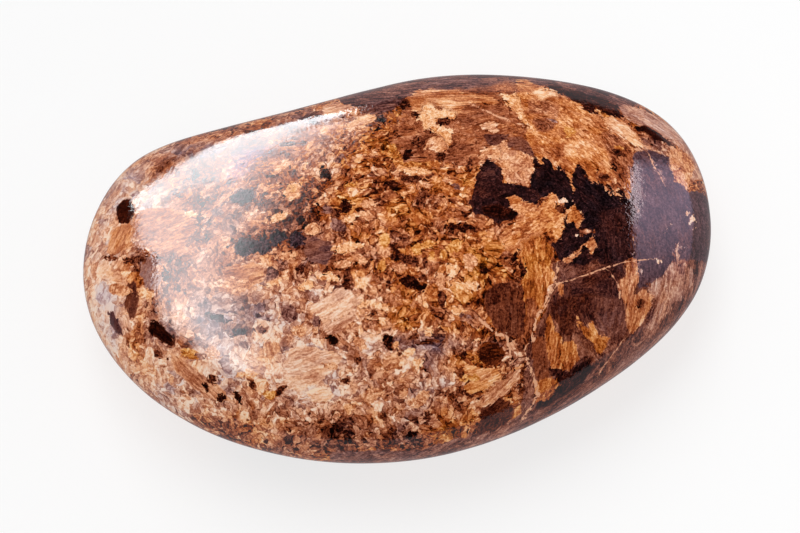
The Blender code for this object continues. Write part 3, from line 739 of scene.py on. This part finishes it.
# Each zone: centre and half sizes in mm, added tone, added hue, and the share of contrast lost.
ZONES = {
    "orange heart": ((-0.2, 2.1), (3.0, 2.5), 0.02, 0.0, 0.0),
    "orange heart left": ((-2.2, 1.9), (1.7, 0.7), -0.12, 0.0, 0.0),
    "lower left": ((-5.0, -4.9), (5.5, 2.5), 0.25, 1.0, 0.1),
    "pale foot": ((-3.2, -6.6), (2.0, 1.0), 0.15, 0.1, 0.0),
    "foot": ((1.2, -6.1), (3.4, 1.5), 0.04, 0.6, 0.0),
    "warm foot": ((3.4, -7.8), (2.4, 0.8), 0.0, -0.7, 0.0),
    "left end": ((-14.8, -1.7), (1.4, 4.5), 0.4, 1.2, 0.4),
    "left back end": ((-13.5, 3.9), (1.6, 1.9), 0.3, 1.3, 0.3),
    "rust end": ((-13.8, -0.3), (1.3, 0.7), -0.2, -0.9, 0.0),
    "left": ((-10.0, 0.8), (4.5, 4.0), -0.02, 0.6, 0.25),
    "left grey": ((-8.5, -2.6), (2.8, 1.9), 0.06, 0.6, 0.1),
    "left edge": ((-11.7, -2.9), (1.0, 1.2), 0.15, 0.7, 0.0),
    "left of the heart": ((-4.4, -1.3), (3.8, 1.4), 0.11, 0.6, 0.0),
    "under window right": ((-4.6, 6.9), (1.6, 0.6), -0.05, 0.6, 0.4),
    "cream by the olive": ((-4.0, 5.75), (1.0, 1.1), 0.2, 0.6, 0.1),
    "under window": ((-7.2, 6.0), (2.2, 0.8), -0.12, 0.2, 0.5),
    "under window left": ((-10.2, 4.8), (2.2, 1.0), -0.08, 0.1, 0.4),
    "left low": ((-10.8, -6.0), (3.2, 1.5), 0.26, 0.8, 0.1),
    # Along the bottom rim the crowd turns rosier for the rock's maroon, and darker as painted shade of the
    # front flank.
    "bottom rim with painted shade": ((-2.4, -8.3), (5.4, 1.0), -0.17, 0.7, 0.0),
    "middle low": ((2.2, -3.9), (3.0, 0.5), -0.03, 1.4, 0.0),
    "mauve middle": ((-4.8, 1.6), (1.6, 1.3), -0.12, 0.9, 0.0),
    "gold heart": ((3.5, -0.2), (1.8, 1.8), -0.04, -0.3, 0.0),
    "olive": ((-0.8, 6.3), (1.0, 1.2), -0.15, 0.2, 0.0),
    "olive low": ((3.6, -4.6), (1.3, 0.6), -0.1, -0.2, 0.0),
    "back rim left": ((-10.0, 5.9), (2.8, 0.6), 0.18, 1.3, 0.2),
    "back rim": ((-4.0, 7.4), (2.5, 0.5), 0.02, 1.4, 0.2),
    "right shoulder": ((12.6, 6.1), (1.3, 0.6), -0.12, 1.2, 0.2),
}
zones = np.zeros((3, len(drawn)))
for centre, half_sizes, *changes in ZONES.values():
    weight = np.exp(-(((drawn - centre) / half_sizes) ** 2).sum(axis=1))
    zones += np.array(changes)[:, None] * weight
note("zone_tone", USUAL_TONE + zones[0])
note("zone_hue", USUAL_HUE + zones[1])
note("zone_contrast", 1 - zones[2])
print("zones:", len(ZONES), "and numbers noted at each corner:", len(notes))

# %% [markdown]
# ## Bronzite, tumbled and polished
#
# The material is a stone: bronzite, an iron-bearing enstatite. Its crystals split into fibres, and
# fine plates inside them throw back a bronze light, so each crystal is streaked along its own run.
# Grains of black pyroxene and rose and cream feldspar are locked in between, without gaps.
#
# Its surface was made by tumbling in finer and finer grit, then in polishing powder. To the eye that
# gives two things at once: the dull mineral colours below, and one sharp clear reflection on top,
# the same over light and dark grains. So the colours go to the diffuse base of the shader, and the
# polish is its coat.
#
# An image could carry the colours, but it has one scale only and has to be wrapped round the stone.
# Patterns made of nodes are solid: they fill the stone as the crystals do. One function adds a node.

# %% One way to add a node
material = bpy.data.materials.new("polished_bronzite")
material.use_nodes = True
tree = material.node_tree
tree.nodes.clear()


def add(kind, settings=None, inputs=None, out=0, tree=tree):
    """Adds a node with its settings and its inputs, each a value or an output, and returns its output.

    A ramp's stops are a setting: pairs of a position and a hex colour. With several names or
    numbers in out, it returns that many outputs.
    """
    made = tree.nodes.new("ShaderNode" + kind)
    for name, value in (settings or {}).items():
        if name == "stops":
            for position, _ in value[2:]:
                made.color_ramp.elements.new(position)
            for element, (position, colour) in zip(made.color_ramp.elements, value):
                element.position = position
                element.color = light_of(colour)
        else:
            setattr(made, name, value)
    for place, value in (inputs or {}).items():
        if isinstance(value, bpy.types.NodeSocket):
            tree.links.new(value, made.inputs[place])
        else:
            made.inputs[place].default_value = value
    if isinstance(out, tuple):
        return [made.outputs[which] for which in out]
    return made.outputs[out] if made.outputs else None


noted = {name: add("Attribute", {"attribute_name": name}, out="Fac") for name in notes}
print("nodes that read the skin's numbers:", len(noted))

# %% [markdown]
# ## The patterns
#
# Noise gives soft swings and Voronoi cells give grains, and both are counted in mm. The crystals
# are about 0.9 mm across. In each of them the fibres run another way, so the place of a point is
# turned by a random turn of its crystal before the fibres and splinters are cut. Real fibres are
# finer than a tenth of a millimetre. Here they are 0.1 to 0.12 mm wide, the finest that still show.

# %% Places and soft swings
SWAY = {"Scale": 2.0, "Detail": 2.0, "Roughness": 0.6}
CROWD = {"Scale": 0.7, "Detail": 3.0, "Roughness": 0.6}
TINT = {"Scale": 0.55, "Detail": 2.0, "Roughness": 0.6}
GRIT = {"Scale": 8.5, "Detail": 2.0, "Roughness": 0.8}
# How far a crystal's edges and the long fibres of the marks wave from side to side, in mm.
CRYSTAL_SWAY = 0.5
FIBRE_SWAY = 0.2

place = add("VectorMath", {"operation": "SCALE"}, {0: add("TexCoord", out="Object"), "Scale": 1 / MM})
sway = add("TexNoise", {}, {"Vector": place, **SWAY}, out="Color")
frayed_place, swayed_place = [
    add("VectorMath", {"operation": "MULTIPLY_ADD"}, {0: sway, 1: (reach, reach, reach), 2: place})
    for reach in (CRYSTAL_SWAY, FIBRE_SWAY)]
crowd = add("TexNoise", {}, {"Vector": place, **CROWD})
tint = add("SeparateColor", {}, {0: add("TexNoise", {}, {"Vector": place, **TINT}, out="Color")}, (0, 1, 2))
grit = add("TexNoise", {}, {"Vector": place, **GRIT})
print("soft swings, mm apart:", [round(1 / swing["Scale"], 2) for swing in (SWAY, CROWD, TINT, GRIT)])

# %% Splinters and fibres
FIBRE_SWING = {"Scale": 1.0, "Detail": 2.0, "Roughness": 0.7}


def in_pieces(laid, size):
    """Places measured in pieces of this size, so many mm along the fibres and so many across."""
    along, across = size
    return add("VectorMath", {"operation": "MULTIPLY"}, {0: laid, 1: (1 / along, 1 / across, 1 / across)})


def splinters(laid, size):
    """Splinters of this size, with three random numbers for each."""
    colour = add("TexVoronoi", {}, {"Vector": in_pieces(laid, size), "Scale": 1.0}, out="Color")
    return add("SeparateColor", {}, {0: colour}, out=(0, 1, 2))


def fibres(laid, size):
    """Fibres of this size, as a number that swings about a half."""
    return add("TexNoise", {}, {"Vector": in_pieces(laid, size), **FIBRE_SWING})


def stirred(base, recipe):
    """A base number plus each pattern of a recipe times its share.

    Half of each share is taken off, so patterns that go from 0 to 1 leave the base in the middle.
    """
    total = add("Math", {}, {0: base, 1: -sum(share for _, share in recipe) / 2})
    for pattern, share in recipe:
        total = add("Math", {"operation": "MULTIPLY_ADD"}, {0: pattern, 1: share, 2: total})
    return total


CRYSTALS_PER_MM = 1.1
SHARD = (0.8, 0.28)
SPLINTER = (0.36, 0.13)
FIBRE = (0.5, 0.12)

crystal_colour = add("TexVoronoi", {}, {"Vector": frayed_place, "Scale": CRYSTALS_PER_MM}, out="Color")
crystal = add("SeparateColor", {}, {0: crystal_colour}, out=(0, 1, 2))
crystal_turn = add("VectorMath", {"operation": "SCALE"}, {0: crystal_colour, "Scale": 2 * np.pi})
turned_place = add("VectorRotate", {"rotation_type": "EULER_XYZ"},
                   {"Vector": frayed_place, "Rotation": crystal_turn})
shard = splinters(turned_place, SHARD)
splinter = splinters(turned_place, SPLINTER)
fibre = fibres(turned_place, FIBRE)
print("crystals, mm across:", round(1 / CRYSTALS_PER_MM, 2))

# %% [markdown]
# ## The crowd of small crystals
#
# Its tone mixes the patterns by a recipe. Each splinter also has a thin dark joint round it, where
# light is lost between two crystals, and that is what makes the crowd look packed and not painted.

# %% The crowd
JOINT_WIDTH = 0.12
JOINT_LOSS = 0.12

grain = stirred(0.0, [(crystal[0], 0.2), (shard[0], 0.4), (splinter[1], 0.34),
                      (crowd, 0.9), (grit, 0.6), (fibre, 0.5)])
from_joint = add("TexVoronoi", {"feature": "DISTANCE_TO_EDGE"},
                 {"Vector": in_pieces(turned_place, SHARD), "Scale": 1.0})
joint = add("MapRange", {}, {0: from_joint, 1: 0.0, 2: JOINT_WIDTH, 3: 1.0, 4: 0.0})
grain = add("Math", {"operation": "MULTIPLY_ADD"}, {0: joint, 1: -JOINT_LOSS, 2: grain})
crowd_tone = add("Math", {"operation": "MULTIPLY_ADD"},
                 {0: grain, 1: noted["zone_contrast"], 2: noted["zone_tone"]})
crowd_hue = stirred(noted["zone_hue"], [(crystal[1], 0.7), (shard[1], 0.5), (tint[0], 2.4)])
rock = [crowd_tone, crowd_hue]
print("the rock is two numbers so far:", [number.node.name for number in rock])

# %% [markdown]
# ## Plates on the far side
#
# The flanks and the belly that the drawing plane doesn't reach are the same rock, so they get dark
# and copper plates as large as the drawn ones. They are the cells of one more Voronoi pattern, and
# only the cells whose random number is high enough are filled.

# %% Plates
SMOOTH = {"interpolation_type": "SMOOTHSTEP"}
PLATES_PER_MM = 0.3
PLATE_EDGE = 0.01
PLATE_GRAIN = 0.4
# Which random number picks the plate, how high it has to be, and the plate's tone and hue.
PLATES = {"dark": (0, 0.68, 0.13, 1.2), "copper": (1, 0.72, 0.52, 0.2)}


def laid_over(rock, mineral, mask):
    """A mineral's tone and hue laid over the rock's where the mask is 1."""
    return [add("Mix", {}, {0: mask, 2: below, 3: above}) for below, above in zip(rock, mineral)]


plate_colour = add("TexVoronoi", {}, {"Vector": frayed_place, "Scale": PLATES_PER_MM}, out="Color")
plate_numbers = add("SeparateColor", {}, {0: plate_colour}, out=(0, 1, 2))
for which, least, plate_tone, plate_hue in PLATES.values():
    filled = add("MapRange", SMOOTH, {0: plate_numbers[which], 1: least - PLATE_EDGE, 2: least + PLATE_EDGE})
    mask = add("Math", {"operation": "MULTIPLY"}, {0: filled, 1: noted["turned_away"]})
    grained = add("Math", {"operation": "MULTIPLY_ADD"}, {0: grain, 1: PLATE_GRAIN, 2: plate_tone})
    rock = laid_over(rock, (grained, plate_hue), mask)
print("kinds of plates:", ", ".join(PLATES))

# %% [markdown]
# ## The drawn layers
#
# Ground, dark grains and flakes are laid over the crowd in that order, as they lie in the stone. Each
# has long fibres that run one way over the whole grain, which is how a large crystal tells itself
# from a crowd of small ones. The fibres are turned about the line to the camera, because the runs
# were drawn on the drawing plane. Their own unevenness is also taken into the depth of the edge, so
# a flake ends in a comb of fibres.

# %% Long fibres
LONG_FIBRE = (1.3, 0.1)
LONG_SHARD = (1.0, 0.25)
LONG_SPLINTER = (0.5, 0.1)
# A layer's run takes over this far outside its marks, in mm, so that the frayed edge has it too.
RUN_REACH = 0.4
RUN_BLEND = 0.02

run = noted["ground_run"]
for layer in ("dark", "flake"):
    near_layer = add("MapRange", SMOOTH,
                     {0: noted[layer + "_depth"], 1: -RUN_REACH - RUN_BLEND, 2: -RUN_REACH + RUN_BLEND})
    run = add("Mix", {}, {0: near_layer, 2: run, 3: noted[layer + "_run"]})
run_turn = add("Math", {"operation": "MULTIPLY"}, {0: run, 1: -np.pi / 180})
laid_place = add("VectorRotate", {"rotation_type": "AXIS_ANGLE"},
                 {"Vector": swayed_place, "Axis": tuple(TO_CAMERA), "Angle": run_turn})
long_fibre = fibres(laid_place, LONG_FIBRE)
long_shard = splinters(laid_place, LONG_SHARD)
long_splinter = splinters(laid_place, LONG_SPLINTER)
print("long fibres, mm:", LONG_FIBRE)

# %% Lay the layers over the crowd
LAYER_EDGE = 0.03
# The shares that a layer's tone takes of long fibres, grit, long shards, long splinters and crowd.
LAYERS = {
    "ground": (0.6, 0.6, 0.2, 0.15, 0.45),
    "dark": (0.36, 0.58, 0.1, 0.1, 0.24),
    "flake": (0.75, 0.6, 0.22, 0.18, 0.6),
}
for layer, shares in LAYERS.items():
    patterns = (long_fibre, grit, long_shard[0], long_splinter[0], crowd)
    layer_grain = stirred(0.0, list(zip(patterns, shares)))
    layer_tone = add("Math", {"operation": "MULTIPLY_ADD"},
                     {0: layer_grain, 1: noted["zone_contrast"], 2: noted[layer + "_tone"]})
    layer_hue = stirred(noted[layer + "_hue"], [(long_shard[1], 0.3), (tint[1], 1.0)])
    depth = stirred(noted[layer + "_depth"], [(long_fibre, 0.25), (grit, 0.1), (long_shard[2], 0.12)])
    mask = add("MapRange", SMOOTH, {0: depth, 1: -LAYER_EDGE, 2: LAYER_EDGE})
    rock = laid_over(rock, (layer_tone, layer_hue), mask)
print("layers, from the bottom:", ", ".join(LAYERS))

# %% [markdown]
# Chips are small grains that a cut has left: near-black, mauve, cream, gold. They lie over the
# flakes. The veins come last, because they are the youngest: cracks that filled with pale mineral.
# A vein wavers about its course and swells and pinches from one splinter to the next.

# %% Chips
CHIP_EDGE = 0.02

chip_tone = stirred(noted["chip_tone"], [(grit, 0.8), (fibre, 0.5), (splinter[0], 0.25), (shard[0], 0.15)])
chip_depth = stirred(noted["chip_depth"], [(grit, 0.08), (splinter[1], 0.1), (shard[2], 0.12)])
mask = add("MapRange", SMOOTH, {0: chip_depth, 1: -CHIP_EDGE, 2: CHIP_EDGE})
rock = laid_over(rock, (chip_tone, noted["chip_hue"]), mask)
print("kinds of chips:", ", ".join(CHIPS))

# %% Veins
VEIN_TONE = 0.67
VEIN_HUE = 0.8
VEIN_EDGE = 0.025
# How far a vein wavers, in mm, and its least and greatest half width as shares of the noted one.
WAVER = 0.2
PINCHED, SWOLLEN = -0.2, 1.6
# Nothing of a vein is drawn further than this from its course, in mm.
VEIN_REACH = 0.4
REACH_BLEND = 0.05

waver = add("SeparateColor", {}, {0: sway}, out=(0, 1, 2))
for vein, (half_width, _) in VEIN_MARKS.items():
    wavering = stirred(noted["vein_" + vein], [(waver[0], WAVER)])
    from_course = add("Math", {"operation": "ABSOLUTE"}, {0: wavering})
    middling = add("Math", {"operation": "SUBTRACT"},
                   {0: half_width * (PINCHED + SWOLLEN) / 2, 1: from_course})
    vein_depth = stirred(middling, [(splinter[0], half_width * (SWOLLEN - PINCHED))])
    vein_mask = add("MapRange", SMOOTH, {0: vein_depth, 1: -VEIN_EDGE, 2: VEIN_EDGE})
    near = add("MapRange", SMOOTH, {0: noted["near_" + vein], 1: VEIN_REACH - REACH_BLEND,
                                    2: VEIN_REACH + REACH_BLEND, 3: 1.0, 4: 0.0})
    mask = add("Math", {"operation": "MULTIPLY"}, {0: vein_mask, 1: near})
    rock = laid_over(rock, (VEIN_TONE, VEIN_HUE), mask)
print("veins:", len(VEIN_MARKS))

# %% [markdown]
# ## From tone and hue to colour
#
# Four ramps go from black to cream, one through each of the rock's hues. The hue blends each ramp
# into the next. Keeping the hues apart from the tone lets light and dark grains share a cast, as
# they do where iron has stained a whole patch of the rock.

# %% Colour of bronzite
TONES = (0.0, 0.15, 0.3, 0.45, 0.6, 0.75, 0.9)
HUES = {
    "gold": ("#0e0501", "#401a04", "#84400c", "#bc681c", "#e09646", "#f5be78", "#fedeae"),
    "copper": ("#0e0302", "#3d1104", "#863814", "#b65b28", "#de8a4e", "#fbb67b", "#ffdab3"),
    "rose": ("#110504", "#45170d", "#7d3f2a", "#b26c50", "#dd9c7b", "#f9c6a4", "#ffe3cd"),
    "mauve": ("#0b0608", "#2a1a1e", "#4c3136", "#704e53", "#947073", "#bd9a9a", "#e4cecb"),
}
tone, hue = rock
ramps = {name: add("ValToRGB", {"stops": list(zip(TONES, colours))}, {0: tone})
         for name, colours in HUES.items()}
hue_shares = {
    "gold": add("Math", {"operation": "MULTIPLY"}, {0: hue, 1: -1.0}),
    "rose": hue,
    "mauve": add("Math", {"operation": "SUBTRACT"}, {0: hue, 1: 1.0}),
}
colour = ramps["copper"]
for name, share in hue_shares.items():
    colour = add("Mix", {"data_type": "RGBA"}, {0: share, 6: colour, 7: ramps[name]}, out=2)
print("nodes in the stone's material so far:", len(tree.nodes))

# %% [markdown]
# ## The polish
#
# Bronzite bends light by about 1.67, so its polish throws back more than glass would. The base is
# left without a gloss of its own, because all of the reflection is the coat's. Grains of different
# hardness wear a few thousandths of a millimetre more or less, which breaks the edge of a window's
# reflection. That is far too little to model, so it is a bump on the coat alone.

# %% Polish
BRONZITE_IOR = 1.67
POLISH_ROUGHNESS = 0.03
ROCK_ROUGHNESS = 0.5
RELIEF = {"Scale": 5.0, "Detail": 2.0, "Roughness": 0.6}
RELIEF_DEPTH = 0.006

relief = add("TexNoise", {}, {"Vector": place, **RELIEF})
ripple = add("Bump", {}, {"Strength": 1.0, "Distance": RELIEF_DEPTH * MM, "Height": relief})
shader = add("BsdfPrincipled", {}, {
    "Base Color": colour, "Roughness": ROCK_ROUGHNESS, "IOR": BRONZITE_IOR, "Specular IOR Level": 0.0,
    "Coat Weight": 1.0, "Coat Roughness": POLISH_ROUGHNESS, "Coat IOR": BRONZITE_IOR, "Coat Normal": ripple})
add("OutputMaterial", {}, {"Surface": shader})
skin.materials.append(material)
print("nodes in the stone's material:", len(tree.nodes))

# %% [markdown]
# ## The studio
#
# A polished stone shows what stands around it, so the room is as much a part of its look as the
# rock. The floor is pale paper. One broad soft sun from above shapes the stone and gives it a faint
# shadow. The reflections come from cards, sheets that glow and that only the polish sees: a window
# behind, a sheet overhead that fades out towards the right, and a dim panel on the right.
#
# Area lamps could do this too, but a card can have any outline, and the reflection on the stone has
# the outline of the card.

# %% Cards of light


def card(name, corners, colour, strength, fades=()):
    """A sheet of light with these corners in mm.

    Each fade is a direction and two places along it, in mm: the sheet is dark up to the first one
    and as bright as it gets from the second one on.
    """
    sheet = bpy.data.meshes.new(name)
    sheet.from_pydata([tuple(c * MM for c in corner) for corner in corners], [], [range(len(corners))])
    made = bpy.data.objects.new(name, sheet)
    bpy.context.scene.collection.objects.link(made)
    glow = bpy.data.materials.new(name)
    glow.use_nodes = True
    glow_tree = glow.node_tree
    glow_tree.nodes.clear()
    for direction, dark_at, bright_at in fades:
        on_sheet = add("TexCoord", out="Object", tree=glow_tree)
        along = add("VectorMath", {"operation": "DOT_PRODUCT"}, {0: on_sheet, 1: direction},
                    out="Value", tree=glow_tree)
        strength = add("MapRange", SMOOTH,
                       {0: along, 1: dark_at * MM, 2: bright_at * MM, 3: 0.0, 4: strength}, tree=glow_tree)
    emission = add("Emission", {}, {"Color": light_of(colour), "Strength": strength}, tree=glow_tree)
    add("OutputMaterial", {}, {"Surface": emission}, tree=glow_tree)
    sheet.materials.append(glow)
    made.visible_camera = False
    made.visible_diffuse = False
    print(name, "is a card with corners:", len(corners))


# %% Floor
FLOOR_HALF = 400.0
SQUARE = ((-1, -1), (1, -1), (1, 1), (-1, 1))
# Most of the paper's brightness is its own, so that the shadow stays faint.
PAPER = {"Base Color": light_of("#898989"), "Roughness": 0.9, "Specular IOR Level": 0.1,
         "Emission Color": light_of("#ffffff"), "Emission Strength": 0.725}
# The polish sees a dimmer floor than the eye does: a card this far under the paper, in mm.
UNDER_PAPER = 0.1

paper = bpy.data.materials.new("paper")
paper.use_nodes = True
for name, value in PAPER.items():
    paper.node_tree.nodes["Principled BSDF"].inputs[name].default_value = value
floor_mesh = bpy.data.meshes.new("floor")
floor_mesh.from_pydata([(x * FLOOR_HALF * MM, y * FLOOR_HALF * MM, 0) for x, y in SQUARE], [], [(0, 1, 2, 3)])
floor_mesh.materials.append(paper)
floor = bpy.data.objects.new("floor", floor_mesh)
bpy.context.scene.collection.objects.link(floor)
floor.visible_glossy = False
card("floor_shine", [(x * FLOOR_HALF, y * FLOOR_HALF, -UNDER_PAPER) for x, y in SQUARE], "#f4ecf0", 0.36)

# %% [markdown]
# The cards stand on three planes: a back wall and a right wall at the same distance from the stone,
# and a ceiling. Their outlines are counted in that distance, so an outline is also the slope at
# which the polish sees each of its corners.

# %% Window, ceiling and panel
WALL = 200.0
CEILING = 250.0


def on_back_wall(outline, nearer=1.0):
    """The corners of an outline, across and up, on the back wall or a little nearer."""
    return [(x * nearer * WALL, nearer * WALL, z * nearer * WALL) for x, z in outline]


def on_right_wall(outline, nearer=1.0):
    """The corners of an outline, back and up, on the right wall or a little nearer."""
    return [(nearer * WALL, y * nearer * WALL, z * nearer * WALL) for y, z in outline]


def on_ceiling(outline):
    """The corners of an outline, right and back, on the ceiling."""
    return [(x * CEILING, y * CEILING, CEILING) for x, y in outline]


# A card that lies over another one stands this much nearer.
IN_FRONT = 0.99
# Where the sheets overhead and the panel fade out towards one side.
TO_RIGHT = ((1, 0, 0), -0.3 * CEILING, -0.95 * CEILING)
TO_LEFT = ((1, 0.47, 0), -1.62 * CEILING, -1.05 * CEILING)
TO_FRONT = ((0, 1, 0), -1.1 * CEILING, -0.95 * CEILING)
PANEL_TO_FRONT = ((0, 1, 0), -0.2 * WALL, 0.7 * WALL)
PANEL_TO_BACK = ((0, -1, 1), -1.0 * WALL, -0.65 * WALL)

card("back_window", on_back_wall([
    (-0.119, 0.098), (-0.122, 0.036), (-0.175, 0.0), (-0.3, 0.0), (-0.337, 0.043), (-0.425, 0.138),
    (-0.595, 0.237), (-0.784, 0.21), (-0.905, 0.195), (-0.936, 0.267), (-0.815, 0.383), (-0.606, 0.412),
    (-0.491, 0.422), (-0.42, 0.423), (-0.361, 0.38), (-0.303, 0.292), (-0.26, 0.289), (-0.211, 0.205),
    (-0.176, 0.151)]), "#f2fbff", 9.0)
card("glint", on_back_wall([
    (-0.26, 0.289), (-0.303, 0.292), (-0.361, 0.38), (-0.42, 0.423), (-0.41, 0.39), (-0.35, 0.32),
    (-0.3, 0.25), (-0.27, 0.26)], IN_FRONT), "#dce6ff", 10.0)
card("overhead", on_ceiling([
    (-0.35, -1.05), (-1.15, -1.05), (-1.45, -0.5), (-1.6, 0.2), (-1.6, 0.6), (-1.48, 0.85), (-1.5, 1.1),
    (-1.72, 1.35), (-2.1, 1.62), (-2.4, 1.8), (-3.0, 3.0), (-3.6, 4.0), (-2.2, 5.5), (-1.15, 3.6),
    (-1.0, 2.5), (-0.35, 1.9)]), "#f6fbff", 6.5,
     (TO_RIGHT, TO_LEFT, TO_FRONT))
card("overhead_far", on_ceiling([
    (-0.35, 1.9), (-1.0, 2.5), (-1.15, 3.6), (-2.2, 5.5), (-0.9, 6.5), (-0.35, 6.5)]), "#f6fbff", 5.8,
     (TO_RIGHT,))
card("right_panel", on_right_wall([
    (0.0, 0.0), (1.7, 0.0), (1.7, 0.6), (1.43, 0.634), (1.036, 0.7), (0.51, 0.674), (0.12, 0.605),
    (0.0, 0.6)]), "#ecdcff", 1.7, (PANEL_TO_FRONT, PANEL_TO_BACK))
card("panel_edge", on_right_wall([
    (1.43, 0.58), (1.43, 0.634), (1.036, 0.7), (0.6, 0.685), (0.8, 0.64), (1.0, 0.62)], IN_FRONT),
     "#ffeaf2", 6.0)

# %% Sun and sky
# The sun is as soft as a large lamp's box right over the stone. The sky is plain white and lights
# the shaded side. The polish sees neither of them.
SUN_ENERGY = 2.8
SUN_SOFTNESS = np.radians(60)
SUN_TILT = (np.radians(-22), np.radians(-22), 0)
SKY_STRENGTH = 0.58

sun = bpy.data.objects.new("sun", bpy.data.lights.new("sun", "SUN"))
sun.data.energy = SUN_ENERGY
sun.data.angle = SUN_SOFTNESS
sun.rotation_euler = SUN_TILT
sun.visible_glossy = False
bpy.context.scene.collection.objects.link(sun)

sky = bpy.data.worlds.new("sky")
bpy.context.scene.world = sky
sky.use_nodes = True
sky.node_tree.nodes["Background"].inputs["Color"].default_value = light_of("#ffffff")
sky.node_tree.nodes["Background"].inputs["Strength"].default_value = SKY_STRENGTH
sky.cycles_visibility.glossy = False
# Hex colours come out as they were written under the standard view.
bpy.context.scene.view_settings.view_transform = "Standard"
print("sun and sky:", SUN_ENERGY, SKY_STRENGTH)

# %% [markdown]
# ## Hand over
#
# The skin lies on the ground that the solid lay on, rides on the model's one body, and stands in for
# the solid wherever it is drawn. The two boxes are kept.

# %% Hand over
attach(stone, "root")
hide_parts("stone")
